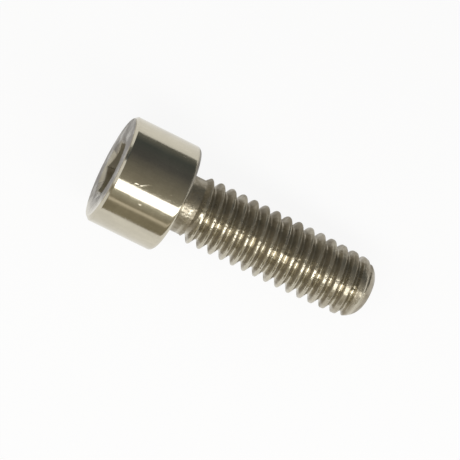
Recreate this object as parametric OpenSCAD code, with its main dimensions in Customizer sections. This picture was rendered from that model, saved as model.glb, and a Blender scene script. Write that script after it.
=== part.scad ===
// Hex socket cap screw, M4 x 0.7 x 12, lying on its side as it comes to rest:
// on the rounded edge of its head and on its rounded nose.
// Millimetres. +Z is up, +X runs from the head to the tip.

/* [Head] */
// Diameter of the plain cylindrical head
head_d = 6.35; // [6.2:0.05:7]
// Height of the head, from the socket face to the bearing face
head_h = 4.1; // [3.8:0.05:4.3]
// Chamfer around the rim of the socket face
rim_chamfer = 0.18; // [0.08:0.02:0.3]
// Radius of the outer edge of the bearing face
edge_round = 0.3; // [0.1:0.05:0.4]

/* [Hex socket] */
// Width across the flats of the socket
socket_af = 3; // [2.5:0.05:3.2]
// Depth of the flat walls of the socket
socket_depth = 2; // [1.5:0.1:2.2]
// How far the countersunk mouth reaches past the corners
mouth_margin = 0.16; // [0.04:0.02:0.2]
// Angle between the countersink and the socket face
mouth_angle = 30; // [20:5:45]
// Angle between the drilled cone at the bottom and the socket face
cone_angle = 30; // [15:1:35]
// How far the hexagon is turned about the screw's axis
socket_turn = 6; // [0:1:59]

/* [Neck] */
// Diameter of the plain neck between the head and the thread
neck_d = 3.34; // [3.2:0.02:3.5]
// Length of the neck
neck_l = 1.02; // [0.8:0.02:2]
// Radius of the fillet between the bearing face and the neck
neck_fillet = 0.35; // [0.1:0.05:0.5]

/* [Thread] */
// Length of the screw under its head
shank_l = 12; // [8:1:30]
// Outer diameter of the thread
thread_d = 3.85; // [3.75:0.01:4]
// Distance from one crest to the next
pitch = 0.7; // [0.6:0.05:0.8]
// Depth of the thread from crest to root
thread_depth = 0.41; // [0.3:0.01:0.44]
// Width of the flat on each crest
crest_flat = 0.12; // [0.06:0.01:0.16]
// Height of the slopes that round off the root
root_round = 0.06; // [0.02:0.01:0.1]
// Turns over which the groove deepens beside the neck
runout_turns = 0.3; // [0.2:0.05:1]
// Angle about the axis at which the groove starts
thread_start = 165; // [0:5:355]

/* [Tip] */
// Length over which the crests taper before the nose
taper_l = 2.6; // [0.5:0.1:3]
// Diameter at which the taper meets the rounded nose
nose_d = 3.6; // [3.4:0.05:3.7]
// Radius of the rounded nose
nose_round = 1.3; // [1.2:0.05:1.5]
// Diameter of the flat end face
tip_flat_d = 1.7; // [1.4:0.1:2]

/* [Hidden] */

head_r = head_d / 2;
neck_r = neck_d / 2;
thread_r = thread_d / 2;
// Facets of the full circles and of the small rounds
round_fn = 96;
small_fn = 48;
// Overlap that keeps cuts clean
over = 0.05;

// Circle through the corners of the hexagon, and the countersink's rim
corner_r = socket_af / 2 / cos(30);
mouth_r = corner_r + mouth_margin;
// The countersink ends inside the flats
mouth_h = (mouth_r - socket_af / 2 + over) * tan(mouth_angle);
// Height of the drilled cone, as wide as the flats
cone_h = socket_af / 2 * tan(cone_angle);

// Centre of the nose's round, and its height behind the end face
nose_centre_r = nose_d / 2 - nose_round;
nose_h = sqrt(nose_round ^ 2 - (tip_flat_d / 2 - nose_centre_r) ^ 2);

// The thread's groove follows a helix, one ring of points at a time
steps_per_turn = 32;
// Angle between a flank and a plane across the axis
flank_angle = 30;
// Half widths of the groove at the crests, where the root's slopes begin
// and at the root
crest_w = (pitch - crest_flat) / 2;
slope_w = crest_w - (thread_depth - root_round) * tan(flank_angle);
root_w = slope_w - root_round;
// Gap between neighbouring turns of the groove outside the crests
turn_gap = 0.02;
// How far the groove's outer side stands clear of the crests
groove_clear = (crest_flat - turn_gap) / 2 / tan(flank_angle);
// How far above the crests the groove's bottom starts
start_clear = groove_clear / 2;
groove_from = neck_l;
groove_to = shank_l + pitch;
groove_rings = ceil((groove_to - groove_from) / pitch * steps_per_turn);

// The surface that the screw lies on touches the round of the head's edge
// and the round of the nose, so the axis leans by this angle
lean_run = shank_l - nose_h + edge_round;
lean_rise = head_r - edge_round - nose_centre_r;
lean = atan2(lean_rise, lean_run)
    - asin((nose_round - edge_round) / norm([lean_run, lean_rise]));
// Height of the middle of the bearing face above that surface
rest_z = edge_round + (head_r - edge_round) * cos(lean) - edge_round * sin(lean);
// Ends of the screw along X before it is centred
end_lo = -(head_r - rim_chamfer) * sin(lean) - head_h * cos(lean);
end_hi = tip_flat_d / 2 * sin(lean) + shank_l * cos(lean);

// Depth of the groove after a number of turns: it starts clear of the
// crests and sinks in smoothly beside the neck
function groove_depth(t) =
    let (k = min(1, max(0, t / runout_turns)))
    (thread_depth + start_clear) * k * k * (3 - 2 * k) - start_clear;

// One ring of the groove after a number of turns: radius and half width
// of its outer side, the foot of each flank and the root
function groove_ring(t) =
    let (
        a = thread_start + 360 * t,
        z = groove_from + pitch * t,
        lift = thread_depth - groove_depth(t),
        widen = lift * tan(flank_angle),
        root_r = thread_r - thread_depth + lift,
        outline = [
            [thread_r + groove_clear, crest_w + groove_clear * tan(flank_angle)],
            [min(root_r + root_round, thread_r + groove_clear / 2 + root_round / 2), slope_w + widen],
            [root_r, root_w + widen]
        ]
    )
    [
        for (p = outline) [p.x * cos(a), p.x * sin(a), z - p.y],
        for (i = [2 : -1 : 0]) let (p = outline[i]) [p.x * cos(a), p.x * sin(a), z + p.y]
    ];

module thread_groove() {
    points = [for (i = [0 : groove_rings]) each groove_ring(i / steps_per_turn)];
    sides = [
        for (i = [0 : groove_rings - 1]) for (j = [0 : 5])
            let (a = 6 * i + j, b = 6 * i + (j + 1) % 6)
            each [[a, b + 6, b], [a, a + 6, b + 6]]
    ];
    ends = [[0, 1, 2, 3, 4, 5], [for (j = [5 : -1 : 0]) 6 * groove_rings + j]];
    polyhedron(points, concat(sides, ends), convexity = 20);
}

// Half section of the head and its fillet, radius along X, axis along Y
module head_section() {
    difference() {
        union() {
            polygon([
                [0, -head_h],
                [head_r - rim_chamfer, -head_h],
                [head_r, -head_h + rim_chamfer],
                [head_r, -edge_round],
                [head_r - edge_round, -edge_round],
                [head_r - edge_round, 0],
                [0, 0]
            ]);
            intersection() {
                translate([head_r - edge_round, -edge_round])
                    circle(edge_round, $fn = small_fn);
                translate([0, -edge_round]) square([head_r, edge_round]);
            }
            translate([0, -over])
                square([neck_r + neck_fillet, neck_fillet + over]);
        }
        translate([neck_r + neck_fillet, neck_fillet])
            circle(neck_fillet, $fn = small_fn);
    }
}

// Half section of the neck, the thread's crests and the rounded nose
module shank_section() {
    polygon([
        [0, -over],
        [neck_r, -over],
        [neck_r, neck_l],
        [thread_r, neck_l + thread_r - neck_r],
        [thread_r, shank_l - nose_h - taper_l],
        [nose_d / 2, shank_l - nose_h],
        [0, shank_l - nose_h]
    ]);
    intersection() {
        translate([nose_centre_r, shank_l - nose_h])
            circle(nose_round, $fn = round_fn);
        translate([0, shank_l - nose_h - over])
            square([nose_d / 2, nose_h + over]);
    }
    translate([0, shank_l - nose_h - over]) square([nose_centre_r, nose_h + over]);
}

// The socket: a hexagon with a countersunk mouth and a drilled bottom
module socket() {
    translate([0, 0, -head_h]) rotate([0, 0, socket_turn]) {
        translate([0, 0, -over])
            cylinder(r = corner_r, h = socket_depth + over, $fn = 6);
        translate([0, 0, -over])
            cylinder(
                r1 = mouth_r + over / tan(mouth_angle),
                r2 = mouth_r - mouth_h / tan(mouth_angle),
                h = mouth_h + over,
                $fn = round_fn
            );
        // The cone starts inside the hexagon, so that the two cuts join
        translate([0, 0, socket_depth - over])
            cylinder(r1 = socket_af / 2, r2 = 0, h = cone_h, $fn = round_fn);
    }
}

// The screw on its own axis: bearing face at z = 0, tip towards +Z
module screw_on_axis() {
    difference() {
        rotate_extrude($fn = round_fn) {
            head_section();
            shank_section();
        }
        socket();
        thread_groove();
    }
}

module cap_screw() {
    color([0.72, 0.7, 0.63])
        translate([-(end_lo + end_hi) / 2, 0, rest_z])
            rotate([0, 90 + lean, 0]) screw_on_axis();
}

cap_screw();
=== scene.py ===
"""Hex socket cap screw: the dressed screw and its white studio.

The screw is turned and rolled about an upright axis, in millimetres: the
bearing face of the head is at height 0, the tip points up and the socket opens
down. It is then laid down in metres, where the frame's screw lies.
"""

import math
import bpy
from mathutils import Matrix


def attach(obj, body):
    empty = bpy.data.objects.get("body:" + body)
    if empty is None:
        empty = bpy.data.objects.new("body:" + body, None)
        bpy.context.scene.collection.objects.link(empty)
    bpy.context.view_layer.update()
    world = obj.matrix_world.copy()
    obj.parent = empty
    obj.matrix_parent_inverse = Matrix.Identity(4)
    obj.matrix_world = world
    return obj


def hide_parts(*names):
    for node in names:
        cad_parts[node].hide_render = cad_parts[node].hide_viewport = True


bl_info = {
    "name": "Hex Socket Cap Screw",
    "version": (1, 0, 0),
    "blender": (4, 5, 0),
    "location": "View3D > Sidebar > Cap Screw",
    "description": "Makes a nickel plated hex socket cap screw and a white studio round it",
    "category": "Object",
}

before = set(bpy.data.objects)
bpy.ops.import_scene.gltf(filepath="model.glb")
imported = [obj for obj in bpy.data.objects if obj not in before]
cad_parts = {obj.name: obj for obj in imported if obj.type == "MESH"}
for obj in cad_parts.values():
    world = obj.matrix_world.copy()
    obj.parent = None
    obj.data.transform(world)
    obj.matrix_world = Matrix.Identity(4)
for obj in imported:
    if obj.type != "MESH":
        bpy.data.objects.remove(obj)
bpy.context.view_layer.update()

import bmesh
import bpy
from bpy.props import FloatProperty, FloatVectorProperty, IntProperty, PointerProperty
from mathutils import Matrix, Vector

MM = 1000.0  # millimetres in a metre
SAME = 1e-3  # millimetres: closer points are one point
HOLD = 0.03  # millimetres: how far an edge loop stands off a rounded corner
UP = Vector((0, 0, 1))

# Scratches and knocks on the head's wall: from, to and width. A place is degrees
# past the wall's top line, towards -Y, and millimetres from the bearing face.
HEAD_MARKS = (
    ((10, 2.62), (4.9, 2.14), 0.065),
    ((10.2, 2.98), (9.6, 2.84), 0.045),
    ((26.8, 2.24), (26.8, 2.18), 0.055),
    ((5.4, 0.96), (4.5, 0.9), 0.04),
)

# Film, as a share of what fully sheltered plate keeps. Beside real residue, the film paints shade towards
# +Y, on the neck, the nose and the end faces, and paints light in the socket's mouth
RUBBED = 0.1  # on the crests and in the roots, which the dies burnish, and on the neck's ring, left clear of its painted shade
NOSE_SHADE = 0.9
NOSE_CLEAR = 0.05
NOSE_CLEAR_RINGS = ((0.12, 0.3), (0.7, 0.25))  # clear of the painted shade where the lamp's highlights fall: millimetres past its start, half width
NECK_RING = 0.72  # share of the neck's length
NECK_RISE = 6  # how steeply the dark film, painted shade, comes back beside the ring
FILLET_FILM = 0.2
BEARING_FILM = 0.6
MOUTH_LIGHT = 1.05
MOUTH_LIGHT_LOW_SIDE = 0.55  # share of the painted light that is left on the side towards -Y, which stays darker
MOUTH_REACH = 0.45  # millimetres into the socket
PLUS_Y_SHADE_RISE = 2.5  # how steeply the painted shade, a darker film, grows towards +Y
EDGE_RISE = 1.8
END_SHADE_EDGE = (1.9, 2.3)  # millimetres towards -Y between which the end face's painted shade gives way to bare plate

# The finishes, in the order of the screw's material slots
HEAD, THREAD, ENDS, SOCKET = range(4)

# Small rounds and steps of the socket, in millimetres
MOUTH_ROUND = 0.03
RIM_ROUND = 0.035
BROACHED_ROUND = 0.022
LEDGE = 0.09
# Rounds of the thread's crests and roots, in millimetres
CREST_ROUND = 0.055
ROOT_ROUND = 0.05

# The picture's side and the bearing face's middle in it, in picture points
PICTURE = 460
BEARING_COLUMN = 176.52
BEARING_ROW = 199.62
SENSOR = 36  # millimetres
PAPER_HALF = 3  # metres

# The share of plain white in the paper, which the camera and the metal both see
PAPER_WHITE = 0.9

# The lamp, a strip along the screw: degrees from straight above, and metres
LAMP_AT = 21.5
LAMP_HALF_WIDTH = 9
LAMP_R = 0.055
LAMP_LENGTH = 0.2
LAMP_AHEAD = 0.04

# The studio's wall, in metres and in degrees from straight above: a dark card
# behind, a pale one over the screw, a bright slit and a tan card in front
WALL_R = 0.06
WALL_BACK = 0.2
WALL_AHEAD = 0.5
WALL_TONES = (
    (-97, (0.2, 0.2, 0.18)),
    (-75, (0.08, 0.09, 0.09)),
    (-45, (0.1, 0.1, 0.1)),
    (0, (0.3, 0.28, 0.23)),
    (35, (0.5, 0.48, 0.4)),
    (50, (0.3, 0.27, 0.2)),
    (53, (0.9, 0.83, 0.7)),
    (60, (0.3, 0.27, 0.2)),
)
WALL_FROM = WALL_TONES[0][0]
WALL_TO = 88


# Sizes


def length(name, description, millimetres, low, high):
    """A length in metres, its limits and default given in millimetres."""
    return FloatProperty(
        name=name,
        description=description,
        default=millimetres / MM,
        min=low / MM,
        max=high / MM,
        unit="LENGTH",
        precision=5,
    )


def turn(name, description, degrees, low=-180, high=180):
    """An angle, its limits and default given in degrees."""
    return FloatProperty(
        name=name,
        description=description,
        default=math.radians(degrees),
        min=math.radians(low),
        max=math.radians(high),
        subtype="ANGLE",
    )


def share(name, description, value):
    """A number from 0 to 1."""
    return FloatProperty(name=name, description=description, default=value, min=0, max=1, subtype="FACTOR")


def tint(name, description, colour):
    """A colour to pick."""
    return FloatVectorProperty(
        name=name, description=description, default=colour, min=0, max=1, size=3, subtype="COLOR"
    )


class CapScrewHead(bpy.types.PropertyGroup):
    """Sizes of the head, its socket and the neck."""

    diameter: length("Head diameter", "Diameter of the plain cylindrical head", 6.35, 6.2, 7)
    height: length("Head height", "From the socket face to the bearing face", 4.1, 3.8, 4.3)
    rim_chamfer: length("Rim chamfer", "Chamfer round the socket face", 0.18, 0.08, 0.3)
    edge_round: length("Edge round", "Round of the outer edge of the bearing face", 0.3, 0.1, 0.4)
    socket_width: length("Socket width", "Across the flats of the hexagon", 3, 2.5, 3.2)
    socket_depth: length("Socket depth", "Depth of the flat walls", 2, 1.5, 2.2)
    mouth_margin: length("Mouth margin", "From the corners to the countersink's rim", 0.16, 0.04, 0.2)
    mouth_angle: turn("Mouth angle", "Between the countersink and the socket face", 30, 20, 45)
    cone_angle: turn("Cone angle", "Between the drilled bottom and the socket face", 30, 15, 35)
    socket_turn: turn("Socket turn", "How far the hexagon is turned about the screw", 6, 0, 59)
    neck_diameter: length("Neck diameter", "Diameter of the plain neck", 3.34, 3.2, 3.5)
    neck_length: length("Neck length", "From the bearing face to the thread", 1.02, 0.8, 2)
    neck_fillet: length("Neck fillet", "Between the bearing face and the neck", 0.35, 0.1, 0.5)


class CapScrewThread(bpy.types.PropertyGroup):
    """Sizes of the thread and of the tip."""

    length: length("Length", "Length of the screw under its head", 12, 8, 30)
    diameter: length("Diameter", "Over the crests of the thread", 3.85, 3.75, 4)
    pitch: length("Pitch", "From one crest to the next", 0.7, 0.6, 0.8)
    depth: length("Depth", "From crest to root", 0.41, 0.3, 0.44)
    crest_flat: length("Crest flat", "Width of a crest before it is rounded", 0.12, 0.06, 0.16)
    flank_angle: turn("Flank angle", "Between a flank and a plane across the axis", 30, 25, 35)
    runout: FloatProperty(
        name="Runout",
        description="Turns over which the groove deepens beside the neck",
        default=0.3,
        min=0.2,
        max=1,
    )
    start: turn("Start", "Angle about the axis at which the groove starts", 165)
    taper: length("Taper", "Length over which the crests taper before the nose", 2.6, 0.5, 3)
    nose_diameter: length("Nose diameter", "Where the taper meets the rounded nose", 3.6, 3.4, 3.7)
    nose_round: length("Nose round", "Radius of the rounded nose", 1.3, 1.2, 1.5)
    tip_flat: length("Tip flat", "Diameter of the flat end face", 1.7, 1.4, 2)
    segments: IntProperty(
        name="Segments", description="Facets round the screw", default=144, min=48, max=192, step=6
    )


class CapScrewFinish(bpy.types.PropertyGroup):
    """Colour and wear of the plating, and the colours of its painted shade and painted light."""

    plate: tint("Plate colour", "Colour of the nickel plating", (0.56, 0.52, 0.42))
    # residue on the thread's flanks; towards +Y and on the head's rounded edge the same dark film is
    # painted shade
    residue_and_side_shade: tint("Residue colour", "Dark film on the flanks and the sheltered side", (0.3, 0.26, 0.19))
    # painted light: pale film in the socket's mouth, standing in for light falling in at the opening
    socket_mouth_light: tint("Bloom colour", "Pale film inside the socket's mouth", (0.46, 0.42, 0.33))
    # painted shade: dark film on the end faces, standing in for the shaded floor that they mirror
    end_face_shade: tint("Smoke colour", "Dark film on the end faces", (0.17, 0.148, 0.12))
    roughness: share("Roughness", "Roughness of the polished plating", 0.11)
    dullness: share("Dullness", "Roughness of the plating in the socket and on the end faces", 0.36)
    wear: share("Wear", "Strength of the fine scratches and pits", 0.6)


class CapScrewStage(bpy.types.PropertyGroup):
    """The camera, the floor and the studio's lights."""

    view_angle: turn("View angle", "Between the line of sight and the screw's axis", 79.6)
    view_roll: turn("View roll", "How far the screw's axis is turned in the picture", 26.29)
    view_tilt: turn("View tilt", "How far the camera leans to the near side of the screw", 6)
    distance: length("Camera distance", "From the camera to the bearing face's middle", 299.1, 50, 1000)
    zoom: FloatProperty(
        name="Zoom",
        description="Picture points in a millimetre at the bearing face",
        default=18.098,
        min=5,
        max=40,
    )
    floor: tint("Floor colour", "Colour of the paper under the screw", (0.86, 0.85, 0.83))
    room: tint("Room colour", "Colour of the pale room round the screw", (0.44, 0.44, 0.42))
    lamp: FloatProperty(
        name="Lamp", description="Brightness of the lamp's white face", default=3.6, min=0, max=20
    )


class CapScrewSettings(bpy.types.PropertyGroup):
    """Everything that can be set for the screw."""

    head: PointerProperty(type=CapScrewHead)
    thread: PointerProperty(type=CapScrewThread)
    finish: PointerProperty(type=CapScrewFinish)
    stage: PointerProperty(type=CapScrewStage)


class ScrewForm:
    """The screw's sizes in millimetres, with what follows from them."""

    def __init__(self, head, thread):
        self.head_r = head.diameter * MM / 2
        self.head_h = head.height * MM
        self.rim = head.rim_chamfer * MM
        self.edge = head.edge_round * MM
        self.flat_r = head.socket_width * MM / 2
        self.socket_h = head.socket_depth * MM
        self.mouth_r = self.flat_r / math.cos(math.radians(30)) + head.mouth_margin * MM
        self.mouth_slope = math.tan(head.mouth_angle)
        self.cone_slope = math.tan(head.cone_angle)
        self.socket_turn = head.socket_turn
        self.neck_r = head.neck_diameter * MM / 2
        self.neck_l = head.neck_length * MM
        self.fillet = head.neck_fillet * MM
        self.shank_l = thread.length * MM
        self.thread_r = thread.diameter * MM / 2
        self.pitch = thread.pitch * MM
        self.depth = thread.depth * MM
        self.crest_half = thread.crest_flat * MM / 2
        self.flank_run = self.depth * math.tan(thread.flank_angle)
        self.runout = thread.runout
        self.start = thread.start
        self.nose_r = thread.nose_diameter * MM / 2
        self.nose_round = thread.nose_round * MM
        self.tip_r = thread.tip_flat * MM / 2
        self.steps = thread.segments
        self.root_r = self.thread_r - self.depth
        self.nose_mid = self.nose_r - self.nose_round
        self.nose_z = self.shank_l - math.sqrt(self.nose_round**2 - (self.tip_r - self.nose_mid) ** 2)
        self.taper_z = self.nose_z - thread.taper * MM
        self.shoulder_z = self.neck_l + self.thread_r - self.neck_r
        # where the helical mesh of the thread joins the turned neck and nose
        self.neck_join = self.neck_l - 0.1
        self.nose_join = self.shank_l - 0.3

    def lean(self):
        """How far the axis of the lying screw leans down to its tip."""
        run = self.nose_z + self.edge
        rise = self.head_r - self.edge - self.nose_mid
        return math.atan2(rise, run) - math.asin((self.nose_round - self.edge) / math.hypot(run, rise))

    def laid_down(self):
        """The matrix from the upright screw in millimetres to the lying one in metres."""
        lean = self.lean()
        height = self.edge + (self.head_r - self.edge) * math.cos(lean) - self.edge * math.sin(lean)
        low = -(self.head_r - self.rim) * math.sin(lean) - self.head_h * math.cos(lean)
        high = self.tip_r * math.sin(lean) + self.shank_l * math.cos(lean)
        place = Matrix.Translation(Vector((-(low + high) / 2, 0, height)) / MM)
        return place @ Matrix.Rotation(math.radians(90) + lean, 4, "Y") @ Matrix.Scale(1 / MM, 4)

    def crest_limit(self, z):
        """Largest radius of the shank at a height."""
        if z <= self.shoulder_z:
            return self.neck_r + max(0, z - self.neck_l)
        if z <= self.taper_z:
            return self.thread_r
        if z <= self.nose_z:
            along = (z - self.taper_z) / (self.nose_z - self.taper_z)
            return self.thread_r + (self.nose_r - self.thread_r) * along
        up = min(z - self.nose_z, self.nose_round)
        return self.nose_mid + math.sqrt(self.nose_round**2 - up**2)

    def turns(self, angle, z):
        """How many turns along the groove a place beside it is."""
        part = (angle - self.start) / math.tau % 1
        return part + round((z - self.neck_l) / self.pitch - part)

    def groove_floor(self, turns):
        """Radius of the groove's floor, which sinks in beside the neck."""
        k = min(1, max(0, turns / self.runout))
        clear = 0.05
        return self.thread_r + clear - (self.depth + clear) * k * k * (3 - 2 * k)

    def on_wall(self, degrees, height):
        """A place on the head's wall, past its top line and from the bearing face."""
        angle = math.radians(degrees)
        return (-self.head_r * math.cos(angle), -self.head_r * math.sin(angle), -height)

    def hexagon_r(self, angle):
        """Distance from the axis to the hexagon's wall."""
        sixth = math.tau / 6
        return self.flat_r / math.cos((angle - self.socket_turn) % sixth - sixth / 2)


# The screw


def wire(bm, corners, segments=4):
    """An open wire through (radius, height, round) corners, rounded where asked.

    Each rounded corner gets a held point on both sides, so that the flat
    between two corners stays flat when the surface is shaded smooth.
    """
    places = []
    for i, (r, z, rounded) in enumerate(corners):
        here = Vector((r, 0, z))
        for j in (i - 1, i + 1):
            if j == i + 1:
                places.append((here, rounded))
            if 0 <= j < len(corners):
                other = Vector((corners[j][0], 0, corners[j][1]))
                room = (other - here).length
                reach = rounded + HOLD
                if rounded and room > reach + corners[j][2] + HOLD:
                    places.append((here + (other - here) / room * reach, 0))
    verts = [bm.verts.new(place) for place, _ in places]
    edges = [bm.edges.new(pair) for pair in zip(verts, verts[1:])]
    for distance in sorted({rounded for _, rounded in places if rounded}):
        bmesh.ops.bevel(
            bm,
            geom=[vert for vert, (_, rounded) in zip(verts, places) if rounded == distance],
            offset=distance,
            offset_type="OFFSET",
            segments=segments,
            profile=0.5,
            affect="VERTICES",
            material=-1,
        )
    return edges


def spun(bm, angle, steps, lift=0.0):
    """Spins all of a wire once round the axis, closing the seam."""
    bmesh.ops.spin(
        bm,
        geom=bm.verts[:] + bm.edges[:],
        cent=(0, 0, 0),
        axis=UP,
        dvec=UP * lift,
        angle=math.tau,
        steps=steps,
        use_merge=lift == 0,
    )
    bmesh.ops.remove_doubles(bm, verts=bm.verts[:], dist=SAME)
    bmesh.ops.rotate(bm, verts=bm.verts[:], cent=(0, 0, 0), matrix=Matrix.Rotation(angle, 3, "Z"))


def turn_head(form):
    """The head with its hexagon socket, down to the start of the neck."""
    bm = bmesh.new()
    wall = bm.verts.layers.float.new("wall")
    foot_z = form.socket_h - form.head_h
    foot_r = form.flat_r - LEDGE
    wire(
        bm,
        [
            (form.mouth_r, -form.head_h, MOUTH_ROUND),
            (form.head_r - form.rim, -form.head_h, RIM_ROUND),
            (form.head_r, form.rim - form.head_h, RIM_ROUND),
            (form.head_r, 0, form.edge),
            (form.neck_r, 0, form.fillet),
            *((form.neck_r, form.neck_l * part, 0) for part in (0.5, 0.6, 0.7, 0.8, 0.87)),
            (form.neck_r, form.neck_join, 0),
        ],
        segments=8,
    )
    # the countersunk mouth, the hexagon's wall, the ledge and the drilled cone
    mouth = min((v for v in bm.verts if len(v.link_edges) == 1), key=lambda v: v.co.z)
    chain = [mouth]
    steps = [(1.7, -form.head_h + 0.1, 1.0)]
    steps += [(form.flat_r, foot_z, share_up) for share_up in (0.985, 0.6, 0.3, 0.015)]
    steps += [(form.flat_r, foot_z, 0.0001)]
    for r, z, share_up in steps:
        vert = bm.verts.new((r, 0, z + share_up * 0.5))
        vert[wall] = share_up
        bm.edges.new((chain[-1], vert))
        chain.append(vert)
    for r, z in ((foot_r, foot_z), (0, foot_z + foot_r * form.cone_slope)):
        vert = bm.verts.new((r, 0, z))
        bm.edges.new((chain[-1], vert))
        chain.append(vert)
    spun(bm, form.socket_turn, form.steps)
    for vert in bm.verts:
        if vert[wall] > 0:
            angle = math.atan2(vert.co.y, vert.co.x)
            r = form.hexagon_r(angle)
            top = -form.head_h + (form.mouth_r - r) * form.mouth_slope
            z = foot_z + (top - foot_z) * vert[wall]
            vert.co = (r * math.cos(angle), r * math.sin(angle), z)
    # the broached edges are slightly rounded
    sharp = []
    for edge in bm.edges:
        a, b = edge.verts
        if a[wall] == 1 and b[wall] == 1:
            sharp.append(edge)
        elif a[wall] > 0 and b[wall] > 0 and a[wall] != b[wall]:
            middle = (a.co + b.co) / 2
            off = (math.atan2(middle.y, middle.x) - form.socket_turn) % (math.tau / 6)
            if min(off, math.tau / 6 - off) < 0.01:
                sharp.append(edge)
    bmesh.ops.bevel(
        bm,
        geom=sharp,
        offset=BROACHED_ROUND,
        offset_type="OFFSET",
        segments=3,
        profile=0.5,
        affect="EDGES",
        material=-1,
    )
    return bm


def roll_thread(form):
    """The helical thread between the neck and the nose."""
    bm = bmesh.new()
    # one wire along the shank, through the crests and roots of every turn
    first = form.turns(form.socket_turn, 0)
    middle = form.neck_l + form.pitch * first
    root_half = form.pitch / 2 - form.crest_half - form.flank_run
    verts = []
    rounds = {CREST_ROUND: [], ROOT_ROUND: []}
    while middle < form.nose_join + form.pitch:
        for r, off, distance in (
            (form.thread_r, -form.pitch / 2 + form.crest_half, CREST_ROUND),
            (form.root_r, -root_half, ROOT_ROUND),
            (form.root_r, root_half, ROOT_ROUND),
            (form.thread_r, form.pitch / 2 - form.crest_half, CREST_ROUND),
        ):
            verts.append(bm.verts.new((r, 0, middle + off)))
            rounds[distance].append(verts[-1])
        middle += form.pitch
    for pair in zip(verts, verts[1:]):
        bm.edges.new(pair)
    for distance, corners in rounds.items():
        bmesh.ops.bevel(
            bm,
            geom=[v for v in corners if len(v.link_edges) == 2],
            offset=distance,
            offset_type="OFFSET",
            segments=4,
            profile=0.5,
            affect="VERTICES",
            material=-1,
        )
    flanks = [e for e in bm.edges if e.calc_length() > 0.2]
    bmesh.ops.subdivide_edges(bm, edges=flanks, cuts=3)
    spun(bm, form.socket_turn, form.steps, form.pitch / form.steps)

    # cut square where the neck and the nose join it, and ringed where its limit turns
    for z, below, above in (
        (form.neck_join, True, False),
        (form.neck_l, False, False),
        (form.shoulder_z, False, False),
        (form.taper_z, False, False),
        (form.nose_z, False, False),
        (form.nose_join, False, True),
    ):
        bmesh.ops.bisect_plane(
            bm,
            geom=bm.verts[:] + bm.edges[:] + bm.faces[:],
            dist=SAME / 10,
            plane_co=(0, 0, z),
            plane_no=UP,
            clear_inner=below,
            clear_outer=above,
        )

    step = math.tau / form.steps
    for vert in bm.verts:
        r = math.hypot(vert.co.x, vert.co.y)
        angle = math.atan2(vert.co.y, vert.co.x)
        z = vert.co.z
        limit = form.crest_limit(z)
        turns = form.turns(angle, z)
        if turns < 0:
            r = limit
        else:
            r = max(r, form.groove_floor(turns))
            soft = min(0.05, 2 * (form.thread_r - limit))
            near = max(0, soft - abs(r - limit))
            r = min(r, limit) - (near * near / (4 * soft) if near else 0)
        if abs(z - form.neck_join) < SAME or abs(z - form.nose_join) < SAME:
            # the ends take the places of the turned rings that they join
            angle = form.socket_turn + round((angle - form.socket_turn) / step) * step
            r = limit
        vert.co = (r * math.cos(angle), r * math.sin(angle), z)
    bmesh.ops.remove_doubles(bm, verts=bm.verts[:], dist=SAME)
    return bm


def turn_nose(form):
    """The rounded nose and its flat end, past the thread."""
    bm = bmesh.new()
    start = bm.verts.new((form.crest_limit(form.nose_join), 0, form.nose_join))
    up = math.asin((form.nose_join - form.nose_z) / form.nose_round)
    end = math.asin((form.shank_l - form.nose_z) / form.nose_round)
    made = bmesh.ops.spin(
        bm,
        geom=[start],
        cent=(form.nose_mid, 0, form.nose_z),
        axis=(0, -1, 0),
        angle=end - up,
        steps=8,
    )
    last = [v for v in made["geom_last"] if isinstance(v, bmesh.types.BMVert)][0]
    for r in (form.tip_r - HOLD, form.tip_r / 2, 0):
        vert = bm.verts.new((r, 0, form.shank_l))
        bm.edges.new((last, vert))
        last = vert
    spun(bm, form.socket_turn, form.steps)
    return bm


def joined(name, parts):
    """One bmesh from several whose rims meet."""
    whole = bmesh.new()
    for part in parts:
        mesh = bpy.data.meshes.new(name)
        part.to_mesh(mesh)
        part.free()
        whole.from_mesh(mesh)
        bpy.data.meshes.remove(mesh)
    bmesh.ops.remove_doubles(whole, verts=whole.verts[:], dist=SAME)
    bmesh.ops.recalc_face_normals(whole, faces=whole.faces[:])
    return whole


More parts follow.
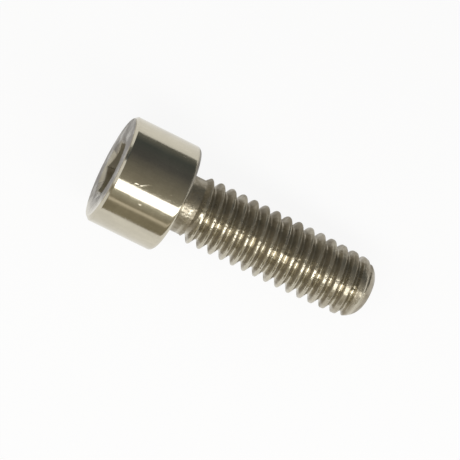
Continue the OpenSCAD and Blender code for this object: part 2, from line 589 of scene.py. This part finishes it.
def mark_film_and_shade(bm, form):
    """Marks how much film each place keeps: residue on the thread's flanks, painted shade as dark film
    towards +Y, on the neck and nose beside clear rings and on the end faces, and painted light as pale film
    in the socket's mouth.
    """
    layer = bm.verts.layers.float.new("film_and_shade")
    for vert in bm.verts:
        r = math.hypot(vert.co.x, vert.co.y)
        z = vert.co.z
        # painted shade: the side towards +Y gets more of the dark film
        plus_y_shade = min(1, max(0, vert.co.y / max(r, SAME) * PLUS_Y_SHADE_RISE))
        if z > form.nose_z:
            # painted shade: dark film over the nose, with clear rings where the lamp's highlights fall
            rings = [1 - abs(z - form.nose_z - at) / half for at, half in NOSE_CLEAR_RINGS]
            deep = NOSE_SHADE - (NOSE_SHADE - NOSE_CLEAR) * max(0, *rings)
            deep += (1 - deep) * plus_y_shade
        elif z > form.neck_l:
            # the dies burnish the crests and the roots
            down = min(1, max(0, (form.thread_r - r) / form.depth))
            deep = RUBBED + (1 - RUBBED) * math.sin(math.pi * down) ** 2
            deep += (1 - deep) * plus_y_shade
        elif z > form.fillet:
            # painted shade: dark film on the neck, with a clear ring where the lamp's highlight falls
            deep = min(1, RUBBED + abs(z / form.neck_l - NECK_RING) * NECK_RISE)
            deep += (1 - deep) * plus_y_shade
        elif z > -SAME and r < form.neck_r + form.fillet:
            deep = FILLET_FILM + (1 - FILLET_FILM) * (z / form.fillet) ** 2
        elif z > -SAME:
            deep = BEARING_FILM
        elif r < form.flat_r + 0.25 and z > SAME - form.head_h:
            # painted light: pale film inside the socket's mouth, fading further in to bare plate that
            # mirrors the dark socket, and weaker towards -Y
            deep = MOUTH_LIGHT - (z + form.head_h) / MOUTH_REACH
            deep *= 1 if vert.co.y > -0.1 else MOUTH_LIGHT_LOW_SIDE
        elif z > -form.edge - HOLD:
            # the rounded edge under the head, with painted shade as dark film towards +Y only
            deep = plus_y_shade * min(1, EDGE_RISE * (1 + z / form.edge))
        elif z < HOLD - form.head_h and r < form.head_r - form.rim + HOLD:
            # painted shade: the end face keeps the dark film, standing in for the shaded floor that it
            # mirrors, and is clear on its side towards -Y
            start, end = END_SHADE_EDGE
            deep = 1 - min(1, max(0, (-vert.co.y - start) / (end - start)))
        else:
            deep = 0
        vert[layer] = min(1, max(0, deep))


def finish_of(face, form):
    """The number of the finish that a face gets."""
    middle = face.calc_center_median()
    r = math.hypot(middle.x, middle.y)
    if middle.z > form.shank_l - SAME:
        return ENDS
    if middle.z > SAME:
        return THREAD if r < form.thread_r + SAME else HEAD
    if middle.z > -0.7 * form.edge and r > form.neck_r + form.fillet:
        return ENDS
    if r < form.mouth_r and middle.z > SAME - form.head_h:
        # painted shade and light: the countersink takes the end face's dark film, but for a stretch across
        # its middle that keeps the socket's pale film, a painted reflection
        slanted = middle.z < 0.4 - form.head_h and abs(face.normal.z) > 0.3
        return ENDS if slanted and abs(middle.y - 0.1) > 0.9 else SOCKET
    return ENDS if middle.z < SAME - form.head_h else HEAD


# Finishes


def emptied(owner):
    """The node tree of a material or world, without its nodes."""
    owner.use_nodes = True
    owner.node_tree.nodes.clear()
    return owner.node_tree


def add(tree, kind, **values):
    """A node with properties and, for names of inputs, their values or links."""
    node = tree.nodes.new(kind)
    links = values.pop("inputs", {})
    for key, value in values.items():
        setattr(node, key, value)
    for key, value in links.items():
        if isinstance(value, bpy.types.NodeSocket):
            tree.links.new(value, node.inputs[key])
        else:
            node.inputs[key].default_value = value
    return node


def reckon(tree, operation, *values, clamp=False):
    """The result of a Math node."""
    node = add(tree, "ShaderNodeMath", operation=operation, inputs=dict(enumerate(values)))
    node.use_clamp = clamp
    return node.outputs[0]


def ranged(tree, value, low, high, to_low=0.0, to_high=1.0):
    """A value brought smoothly from one range to another."""
    return add(
        tree,
        "ShaderNodeMapRange",
        interpolation_type="SMOOTHSTEP",
        inputs={"Value": value, "From Min": low, "From Max": high, "To Min": to_low, "To Max": to_high},
    ).outputs[0]


def clouds(tree, place, scale, detail=4.0, roughness=0.6):
    """The grey values of a Noise Texture."""
    return add(
        tree,
        "ShaderNodeTexNoise",
        inputs={"Vector": place, "Scale": scale, "Detail": detail, "Roughness": roughness},
    ).outputs["Fac"]


def vectors(tree, operation, first, second=None, scale=None):
    """The outputs of a Vector Math node: its vector at 0, its number at Value."""
    inputs = {0: first}
    if second is not None:
        inputs[1] = second
    if scale is not None:
        inputs["Scale"] = scale
    return add(tree, "ShaderNodeVectorMath", operation=operation, inputs=inputs).outputs


def group(name, inputs, outputs):
    """An empty node group with its named inputs and outputs, or None if it is there."""
    if name in bpy.data.node_groups:
        return None
    tree = bpy.data.node_groups.new(name, "ShaderNodeTree")
    for kind, labels in inputs.items():
        for label in labels:
            tree.interface.new_socket(name=label, in_out="INPUT", socket_type="NodeSocket" + kind)
    for kind, labels in outputs.items():
        for label in labels:
            tree.interface.new_socket(name=label, in_out="OUTPUT", socket_type="NodeSocket" + kind)
    return tree, tree.nodes.new("NodeGroupInput").outputs, tree.nodes.new("NodeGroupOutput").inputs


def tool_lines():
    """Group: fine lines that a tool leaves, close together across its path.

    Across, Along and Outward give the lines in a millimetre as one goes round
    the screw, along it and away from its axis.
    """
    name = "Tool lines"
    made = group(name, {"Vector": ["Place"], "Float": ["Across", "Along", "Outward"]}, {"Float": ["Lines"]})
    if made:
        tree, given, wanted = made
        stretch = add(
            tree,
            "ShaderNodeCombineXYZ",
            inputs={0: given["Across"], 1: given["Across"], 2: given["Along"]},
        )
        spread = vectors(tree, "MULTIPLY", given["Place"], stretch.outputs[0])
        level = vectors(tree, "MULTIPLY", given["Place"], (1, 1, 0))
        away = vectors(tree, "LENGTH", level[0])
        noise = add(
            tree,
            "ShaderNodeTexNoise",
            noise_dimensions="4D",
            inputs={
                "Vector": spread[0],
                "W": reckon(tree, "MULTIPLY", away["Value"], given["Outward"]),
                "Scale": 1.0,
                "Detail": 3.0,
                "Roughness": 0.7,
            },
        )
        tree.links.new(ranged(tree, noise.outputs["Fac"], 0.3, 0.7), wanted["Lines"])
    return bpy.data.node_groups[name]


def hairlines():
    """Group: sparse thin scratches, long in one direction."""
    name = "Hairline scratches"
    made = group(
        name,
        {"Vector": ["Place", "Direction"], "Float": ["Scale", "Width", "Spread"]},
        {"Float": ["Scratches"]},
    )
    if made:
        tree, given, wanted = made
        turned = add(
            tree,
            "ShaderNodeVectorRotate",
            rotation_type="EULER_XYZ",
            inputs={"Vector": given["Place"], "Rotation": given["Direction"]},
        )
        long = vectors(tree, "MULTIPLY", turned.outputs[0], (1, 1, 0.09))
        field = clouds(tree, long[0], given["Scale"], 1.0, 0.4)
        off = reckon(tree, "ABSOLUTE", reckon(tree, "SUBTRACT", field, 0.5))
        line = ranged(tree, off, 0.0, given["Width"], 1.0, 0.0)
        patch = clouds(tree, given["Place"], 1.1, 2.0)
        threshold = reckon(tree, "SUBTRACT", 1.0, given["Spread"])
        here = ranged(tree, patch, threshold, reckon(tree, "ADD", threshold, 0.08))
        tree.links.new(reckon(tree, "MULTIPLY", line, here), wanted["Scratches"])
    return bpy.data.node_groups[name]


def single_mark():
    """Group: one straight scratch or knock between two places."""
    name = "Single mark"
    made = group(name, {"Vector": ["Place", "From", "To"], "Float": ["Width"]}, {"Float": ["Mark"]})
    if made:
        tree, given, wanted = made
        run = vectors(tree, "SUBTRACT", given["To"], given["From"])
        here = vectors(tree, "SUBTRACT", given["Place"], given["From"])
        along = vectors(tree, "DOT_PRODUCT", here[0], run[0])
        whole = vectors(tree, "DOT_PRODUCT", run[0], run[0])
        part = reckon(tree, "DIVIDE", along["Value"], whole["Value"], clamp=True)
        nearest = vectors(tree, "SCALE", run[0], scale=part)
        off = vectors(tree, "DISTANCE", here[0], nearest[0])
        ragged = ranged(tree, clouds(tree, given["Place"], 14.0, 3.0), 0.3, 0.7, 0.5, 1.5)
        reach = reckon(tree, "MULTIPLY", off["Value"], ragged)
        tree.links.new(ranged(tree, reach, 0.0, given["Width"], 1.0, 0.0), wanted["Mark"])
    return bpy.data.node_groups[name]


def worn_plating():
    """Group: plating whose colour, roughness and height vary with film and wear."""
    name = "Worn plating"
    made = group(
        name,
        {
            "Vector": ["Place"],
            "Color": ["Plate", "Residue"],
            "Float": [
                "Film",
                "Haze",
                "Polish",
                "Dullness",
                "Lines",
                "Scratches",
                "Marks",
                "Unevenness",
                "Wear",
            ],
        },
        {"Color": ["Color"], "Float": ["Metallic", "Roughness", "Height"]},
    )
    if made:
        tree, given, wanted = made
        cloud = clouds(tree, given["Place"], 0.8)
        grain = clouds(tree, given["Place"], 11.0, 5.0, 0.65)
        # small pits, each in a cell of its own, and only in some of the cells
        cells = add(tree, "ShaderNodeTexVoronoi", inputs={"Vector": given["Place"], "Scale": 1.7})
        chosen = add(tree, "ShaderNodeSeparateColor", inputs={"Color": cells.outputs["Color"]})
        spot = ranged(tree, cells.outputs["Distance"], 0.035, 0.075, 1.0, 0.0)
        pits = reckon(tree, "MULTIPLY", spot, reckon(tree, "GREATER_THAN", chosen.outputs[0], 0.85))
        pits = reckon(tree, "MULTIPLY", pits, given["Wear"])

        patchy = ranged(tree, cloud, 0.32, 0.68, 0.6, 1.25)
        film = reckon(tree, "MULTIPLY", given["Film"], patchy, clamp=True)
        # the film's colour, which is also painted shade and, in the socket's mouth, painted light
        coated = add(
            tree,
            "ShaderNodeMix",
            data_type="RGBA",
            inputs={"Factor": film, 6: given["Plate"], 7: given["Residue"]},
        )
        shade = ranged(tree, grain, 0.3, 0.7, 0.965, 1.03)
        shade = reckon(tree, "MULTIPLY", shade, ranged(tree, cloud, 0.3, 0.7, 0.95, 1.05))
        shade = reckon(tree, "MULTIPLY", shade, ranged(tree, given["Lines"], 0.0, 1.0, 0.98, 1.02))
        shade = reckon(tree, "SUBTRACT", shade, reckon(tree, "MULTIPLY", pits, 0.3))
        marks = reckon(tree, "MULTIPLY", given["Scratches"], given["Wear"])
        shade = reckon(tree, "ADD", shade, reckon(tree, "MULTIPLY", marks, 0.12))
        shade = reckon(tree, "ADD", shade, reckon(tree, "MULTIPLY", given["Marks"], 0.25))
        colour = vectors(tree, "SCALE", coated.outputs[2], scale=shade)
        tree.links.new(colour[0], wanted["Color"])

        hidden = reckon(tree, "MULTIPLY", film, given["Haze"])
        tree.links.new(reckon(tree, "SUBTRACT", 1.0, hidden, clamp=True), wanted["Metallic"])

        span = reckon(tree, "SUBTRACT", given["Dullness"], given["Polish"])
        rough = reckon(tree, "MULTIPLY_ADD", span, film, given["Polish"])
        rough = reckon(tree, "MULTIPLY", rough, ranged(tree, cloud, 0.3, 0.7, 0.8, 1.25))
        rough = reckon(tree, "MULTIPLY_ADD", ranged(tree, grain, 0.45, 0.8), 0.06, rough)
        rough = reckon(tree, "MULTIPLY_ADD", marks, 0.12, rough)
        rough = reckon(tree, "MULTIPLY_ADD", pits, 0.25, rough, clamp=True)
        tree.links.new(rough, wanted["Roughness"])

        height = reckon(tree, "MULTIPLY_ADD", given["Lines"], 0.35, reckon(tree, "MULTIPLY", grain, 0.3))
        height = reckon(tree, "MULTIPLY_ADD", marks, -0.6, height)
        height = reckon(tree, "MULTIPLY_ADD", pits, -1.2, height)
        height = reckon(tree, "MULTIPLY_ADD", given["Marks"], -3.5, height)
        swell = clouds(tree, given["Place"], 3.2, 2.0, 0.5)
        height = reckon(tree, "MULTIPLY_ADD", swell, given["Unevenness"], height)
        tree.links.new(height, wanted["Height"])
    return bpy.data.node_groups[name]


def plated_material(
    name, finish, form, *, coat, film, haze, polish, dullness, lines, uneven, bump, marks=()
):
    """Nickel plate with a thin film where nothing rubs it.

    The film is a share of what the mesh marks, and the haze is how much of the metal it hides. Where the
    mesh marks painted shade the film is dark, and in the socket's mouth it is pale, painted light. Lines
    are the tool's lines in a millimetre: round the screw, along it and outward. Marks are scratches and
    knocks on the head.
    """
    material = bpy.data.materials.new(name)
    tree = emptied(material)
    place = form.laid_down()
    own = add(
        tree,
        "ShaderNodeMapping",
        vector_type="TEXTURE",
        inputs={
            "Vector": add(tree, "ShaderNodeTexCoord").outputs["Object"],
            "Location": place.to_translation(),
            "Rotation": place.to_euler(),
            "Scale": (1 / MM, 1 / MM, 1 / MM),
        },
    ).outputs["Vector"]
    # the film marked on the mesh: residue, painted shade and painted light
    film_and_shade = add(tree, "ShaderNodeAttribute", attribute_type="GEOMETRY", attribute_name="film_and_shade")
    tooled = add(
        tree,
        "ShaderNodeGroup",
        node_tree=tool_lines(),
        inputs={"Place": own, "Across": lines[0], "Along": lines[1], "Outward": lines[2]},
    )
    scratched = add(
        tree,
        "ShaderNodeGroup",
        node_tree=hairlines(),
        inputs={"Place": own, "Direction": (0.9, 0.5, 0.3), "Scale": 2.6, "Width": 0.006, "Spread": 0.5},
    )
    knocked = 0.0
    for start, end, width in marks:
        mark = add(
            tree,
            "ShaderNodeGroup",
            node_tree=single_mark(),
            inputs={
                "Place": own,
                "From": form.on_wall(*start),
                "To": form.on_wall(*end),
                "Width": width,
            },
        )
        knocked = reckon(tree, "MAXIMUM", knocked, mark.outputs["Mark"])
    plating = add(
        tree,
        "ShaderNodeGroup",
        node_tree=worn_plating(),
        inputs={
            "Place": own,
            "Plate": (*finish.plate, 1),
            "Residue": (*coat, 1),
            "Film": reckon(tree, "MULTIPLY", film_and_shade.outputs["Fac"], film),
            "Haze": haze,
            "Polish": polish,
            "Dullness": dullness,
            "Lines": tooled.outputs["Lines"],
            "Scratches": scratched.outputs["Scratches"],
            "Marks": knocked,
            "Unevenness": uneven,
            "Wear": finish.wear,
        },
    )
    relief = add(
        tree,
        "ShaderNodeBump",
        inputs={"Strength": bump, "Distance": 0.01 / MM, "Height": plating.outputs["Height"]},
    )
    surface = add(
        tree,
        "ShaderNodeBsdfPrincipled",
        inputs={
            "Base Color": plating.outputs["Color"],
            "Metallic": plating.outputs["Metallic"],
            "Roughness": plating.outputs["Roughness"],
            "Normal": relief.outputs["Normal"],
        },
    )
    add(tree, "ShaderNodeOutputMaterial", inputs={"Surface": surface.outputs[0]})
    return material


def plated_materials(finish, form):
    """The screw's finishes, in the order of their numbers."""
    smooth = finish.roughness
    dull = finish.dullness
    return [
        plated_material(
            "Nickel plate on the head",
            finish,
            form,
            coat=finish.residue_and_side_shade,
            film=0.9,
            haze=0.2,
            polish=smooth,
            dullness=dull,
            lines=(7, 0.5, 0.5),
            uneven=0.6,
            bump=0.16,
            marks=HEAD_MARKS,
        ),
        plated_material(
            "Nickel plate on the thread",
            finish,
            form,
            coat=finish.residue_and_side_shade,
            film=0.95,
            haze=0.2,
            polish=smooth * 1.7,
            dullness=dull * 1.2,
            lines=(0.4, 5, 8),
            uneven=8,
            bump=0.5,
        ),
        plated_material(
            "Dull plate with painted shade on the end faces",
            finish,
            form,
            coat=finish.end_face_shade,
            film=1,
            haze=0.8,
            polish=smooth,
            dullness=dull,
            lines=(0.5, 0.5, 12),
            uneven=1,
            bump=0.35,
        ),
        plated_material(
            "Dull plate with painted light in the socket",
            finish,
            form,
            coat=finish.socket_mouth_light,
            film=1,
            haze=0.85,
            polish=dull,
            dullness=dull * 1.4,
            lines=(9, 0.6, 0.6),
            uneven=2,
            bump=0.5,
        ),
    ]


def seen_directly(tree):
    """1 for what the camera, the metal and glass see, 0 for what lights the screw."""
    path = add(tree, "ShaderNodeLightPath").outputs
    seen = reckon(tree, "ADD", path["Is Camera Ray"], path["Is Glossy Ray"])
    return reckon(tree, "ADD", seen, path["Is Transmission Ray"], clamp=True)


def paper_material(name, stage):
    """Pale paper that is white to the camera, shows in the metal and keeps the shadow."""
    material = bpy.data.materials.new(name)
    tree = emptied(material)
    shown = reckon(tree, "MULTIPLY", seen_directly(tree), PAPER_WHITE)
    paper = add(tree, "ShaderNodeBsdfDiffuse", inputs={"Color": (*stage.floor, 1)})
    white = add(tree, "ShaderNodeEmission", inputs={"Color": (1, 1, 1, 1), "Strength": 1.0})
    mix = add(
        tree,
        "ShaderNodeMixShader",
        inputs={0: shown, 1: paper.outputs[0], 2: white.outputs[0]},
    )
    add(tree, "ShaderNodeOutputMaterial", inputs={"Surface": mix.outputs[0]})
    return material


def backdrop_material(name):
    """The studio's wall over the screw, in its tones."""
    material = bpy.data.materials.new(name)
    tree = emptied(material)
    around = add(tree, "ShaderNodeAttribute", attribute_type="GEOMETRY", attribute_name="around")
    ramp = add(tree, "ShaderNodeValToRGB", inputs={"Fac": around.outputs["Fac"]})
    tones = ramp.color_ramp.elements
    # a new ramp has a white stop at its end
    tones.remove(tones[-1])
    for degrees, colour in WALL_TONES:
        at = (degrees - WALL_FROM) / (WALL_TO - WALL_FROM)
        stop = tones[0] if degrees == WALL_FROM else tones.new(at)
        stop.color = (*colour, 1)
    glow = add(tree, "ShaderNodeEmission", inputs={"Color": ramp.outputs["Color"], "Strength": 1.0})
    add(tree, "ShaderNodeOutputMaterial", inputs={"Surface": glow.outputs[0]})
    return material


# Operators


def put_in_scene(name, mesh):
    """A fresh object of that name for a mesh, in place of an older one."""
    old = bpy.data.objects.get(name)
    if old:
        bpy.data.objects.remove(old)
    thing = bpy.data.objects.new(name, mesh)
    bpy.context.scene.collection.objects.link(thing)
    return thing


class CAPSCREW_OT_screw(bpy.types.Operator):
    """Turn the head and nose, broach the socket and roll the thread"""

    bl_idname = "capscrew.screw"
    bl_label = "Make the Screw"
    bl_options = {"REGISTER", "UNDO"}

    def execute(self, context):
        settings = context.scene.cap_screw
        form = ScrewForm(settings.head, settings.thread)
        bm = joined("screw", [turn_head(form), roll_thread(form), turn_nose(form)])
        mark_film_and_shade(bm, form)
        for face in bm.faces:
            face.smooth = True
            face.material_index = finish_of(face, form)
        open_edges = sum(1 for e in bm.edges if len(e.link_faces) != 2)
        if open_edges:
            raise RuntimeError(f"the screw's skin has {open_edges} open edges")
        bmesh.ops.transform(bm, matrix=form.laid_down(), verts=bm.verts[:])
        mesh = bpy.data.meshes.new("cap_screw_skin")
        bm.to_mesh(mesh)
        bm.free()
        for material in plated_materials(settings.finish, form):
            mesh.materials.append(material)
        screw = put_in_scene("dressed_screw", mesh)
        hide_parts("cap_screw")
        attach(screw, "root")
        return {"FINISHED"}


class Sight:
    """The line of sight and the picture's axes, from the stage's settings."""

    def __init__(self, stage, form):
        lean = form.lean()
        self.along = Vector((math.cos(lean), 0, -math.sin(lean)))
        near = Vector((0, -math.sin(stage.view_tilt), math.cos(stage.view_tilt)))
        self.above = (near - near.dot(self.along) * self.along).normalized()
        angle = stage.view_angle
        self.forward = math.cos(angle) * self.along - math.sin(angle) * self.above
        flat = (self.along - self.along.dot(self.forward) * self.forward).normalized()
        across = (-self.forward).cross(flat)
        roll = stage.view_roll
        self.right = math.cos(roll) * flat + math.sin(roll) * across
        self.up = -math.sin(roll) * flat + math.cos(roll) * across


class CAPSCREW_OT_stage(bpy.types.Operator):
    """Place the camera, lay the paper, hang the wall and the lamp, and paint the room"""

    bl_idname = "capscrew.stage"
    bl_label = "Set the Stage"
    bl_options = {"REGISTER", "UNDO"}

    def execute(self, context):
        settings = context.scene.cap_screw
        stage = settings.stage
        form = ScrewForm(settings.head, settings.thread)
        sight = Sight(stage, form)
        self.set_camera(context, stage, form, sight)
        self.lay_paper(stage)
        self.hang_wall(sight)
        self.hang_lamp(context, stage, sight)
        self.paint_room(context, stage)
        return {"FINISHED"}

    def set_camera(self, context, stage, form, sight):
        """The camera, with the bearing face's middle at its place in the picture."""
        focal = stage.zoom * stage.distance * MM
        target = form.laid_down() @ Vector((0, 0, 0))
        right = (BEARING_COLUMN - PICTURE / 2) / focal
        up = (PICTURE / 2 - BEARING_ROW) / focal
        spot = target - stage.distance * (right * sight.right + up * sight.up + sight.forward)
        data = bpy.data.cameras.new("camera")
        data.sensor_width = SENSOR
        data.lens = SENSOR * focal / PICTURE
        data.clip_start = 0.01
        data.clip_end = 10
        camera = bpy.data.objects.new("camera", data)
        axes = Matrix((sight.right, sight.up, -sight.forward)).transposed()
        camera.matrix_world = Matrix.Translation(spot) @ axes.to_4x4()
        context.scene.collection.objects.link(camera)
        context.scene.camera = camera

    def lay_paper(self, stage):
        """The floor that the screw lies on."""
        bm = bmesh.new()
        bmesh.ops.create_grid(bm, x_segments=1, y_segments=1, size=PAPER_HALF)
        mesh = bpy.data.meshes.new("paper")
        bm.to_mesh(mesh)
        bm.free()
        mesh.materials.append(paper_material("White paper", stage))
        put_in_scene("paper", mesh)

    def hang_wall(self, sight):
        """One curved wall over the screw, which only its metal shows."""
        bm = bmesh.new()
        around = bm.verts.layers.float.new("around")
        ends = [bm.verts.new(sight.above * WALL_R + sight.along * s) for s in (-WALL_BACK, WALL_AHEAD)]
        edge = bm.edges.new(ends)
        low, high = math.radians(WALL_FROM), math.radians(WALL_TO)
        bmesh.ops.rotate(bm, verts=ends, cent=(0, 0, 0), matrix=Matrix.Rotation(low, 3, sight.along))
        bmesh.ops.spin(bm, geom=ends + [edge], cent=(0, 0, 0), axis=sight.along, angle=high - low, steps=90)
        front = sight.along.cross(sight.above)
        for vert in bm.verts:
            angle = math.atan2(vert.co.dot(front), vert.co.dot(sight.above))
            vert[around] = (angle - low) / (high - low)
        mesh = bpy.data.meshes.new("wall")
        bm.to_mesh(mesh)
        bm.free()
        mesh.materials.append(backdrop_material("Studio wall"))
        wall = put_in_scene("wall", mesh)
        wall.visible_camera = False
        wall.visible_diffuse = False
        wall.visible_shadow = False

    def hang_lamp(self, context, stage, sight):
        """A strip of light along the screw."""
        outward = Matrix.Rotation(math.radians(LAMP_AT), 3, sight.along) @ sight.above
        data = bpy.data.lights.new("lamp", "AREA")
        data.shape = "RECTANGLE"
        data.size = 2 * LAMP_R * math.tan(math.radians(LAMP_HALF_WIDTH))
        data.size_y = LAMP_LENGTH
        data.energy = stage.lamp * math.pi * data.size * data.size_y
        lamp = bpy.data.objects.new("lamp", data)
        axes = Matrix((sight.along.cross(outward), sight.along, outward)).transposed()
        place = outward * LAMP_R + sight.along * LAMP_AHEAD
        lamp.matrix_world = Matrix.Translation(place) @ axes.to_4x4()
        context.scene.collection.objects.link(lamp)

    def paint_room(self, context, stage):
        """Pale light from all round, white to the camera and in the metal."""
        world = bpy.data.worlds.new("Room")
        context.scene.world = world
        tree = emptied(world)
        room = add(tree, "ShaderNodeBackground", inputs={"Color": (*stage.room, 1), "Strength": 1.0})
        white = add(tree, "ShaderNodeBackground", inputs={"Color": (1, 1, 1, 1), "Strength": 1.0})
        mix = add(
            tree,
            "ShaderNodeMixShader",
            inputs={0: seen_directly(tree), 1: room.outputs[0], 2: white.outputs[0]},
        )
        add(tree, "ShaderNodeOutputWorld", inputs={"Surface": mix.outputs[0]})
        context.scene.view_settings.view_transform = "Standard"


class CAPSCREW_PT_panel(bpy.types.Panel):
    """Everything that can be set, and the two steps that use it"""

    bl_idname = "CAPSCREW_PT_panel"
    bl_label = "Cap Screw"
    bl_space_type = "VIEW_3D"
    bl_region_type = "UI"
    bl_category = "Cap Screw"

    def draw(self, context):
        settings = context.scene.cap_screw
        for title, group, step in (
            ("Head", settings.head, None),
            ("Thread", settings.thread, None),
            ("Finish", settings.finish, CAPSCREW_OT_screw),
            ("Stage", settings.stage, CAPSCREW_OT_stage),
        ):
            box = self.layout.box()
            box.label(text=title)
            for name in type(group).__annotations__:
                box.prop(group, name)
            if step:
                box.operator(step.bl_idname)


CLASSES = (
    CapScrewHead,
    CapScrewThread,
    CapScrewFinish,
    CapScrewStage,
    CapScrewSettings,
    CAPSCREW_OT_screw,
    CAPSCREW_OT_stage,
    CAPSCREW_PT_panel,
)


def register():
    for cls in CLASSES:
        bpy.utils.register_class(cls)
    bpy.types.Scene.cap_screw = PointerProperty(type=CapScrewSettings)


def unregister():
    del bpy.types.Scene.cap_screw
    for cls in reversed(CLASSES):
        bpy.utils.unregister_class(cls)


def main():
    """Makes the screw and its stage."""
    register()
    bpy.ops.capscrew.screw()
    bpy.ops.capscrew.stage()


if __name__ == "__main__":
    main()
